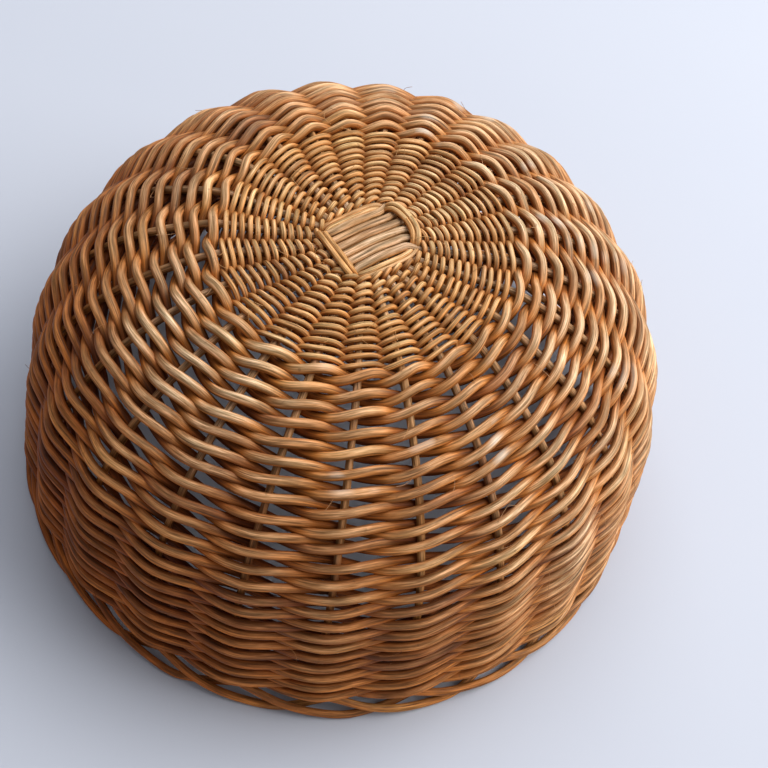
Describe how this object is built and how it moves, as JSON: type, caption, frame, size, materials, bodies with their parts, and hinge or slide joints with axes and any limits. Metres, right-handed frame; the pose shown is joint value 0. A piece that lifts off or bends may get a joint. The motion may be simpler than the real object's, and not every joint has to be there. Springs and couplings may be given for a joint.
{
  "type": "banneton basket",
  "caption": "Round banneton or bread basket woven in pairs of natural reed over radial stakes, standing mouth down on its rim.",
  "frame": {"origin": "centre of the rim, on the surface that the rim stands on", "axes": "+Z is the basket's axis, from its mouth to its base, so the basket is mouth down; +X runs along the upper six base stakes and +Y along the lower six"},
  "size_m": [0.2292, 0.2292, 0.1139],
  "materials": {
    "stake_reed": "natural reed, matt, with fine lengthwise grain",
    "fine_reed": "natural reed, satin, honey brown",
    "thick_reed": "natural reed, satin, honey to sienna brown, bleached on top",
    "border_reed": "natural reed, satin, darker brown"
  },
  "bodies": {
    "root": {"upper_stake_1": "stake_reed", "upper_stake_2": "stake_reed", "upper_stake_3": "stake_reed", "upper_stake_4": "stake_reed", "upper_stake_5": "stake_reed", "upper_stake_6": "stake_reed", "lower_stake_1": "stake_reed", "lower_stake_2": "stake_reed", "lower_stake_3": "stake_reed", "lower_stake_4": "stake_reed", "lower_stake_5": "stake_reed", "lower_stake_6": "stake_reed", "centre_binding": "fine_reed", "base_weave_1": "fine_reed", "base_weave_2": "fine_reed", "side_weave_1_outer": "thick_reed", "side_weave_1_inner": "thick_reed", "side_weave_2_outer": "thick_reed", "side_weave_2_inner": "thick_reed", "side_weave_3_outer": "thick_reed", "side_weave_3_inner": "thick_reed", "side_weave_4_outer": "thick_reed", "side_weave_4_inner": "thick_reed", "side_weave_5_outer": "thick_reed", "side_weave_5_inner": "thick_reed", "side_weave_6_outer": "thick_reed", "side_weave_6_inner": "thick_reed", "rim_border": "border_reed"}
  },
  "joints": []
}
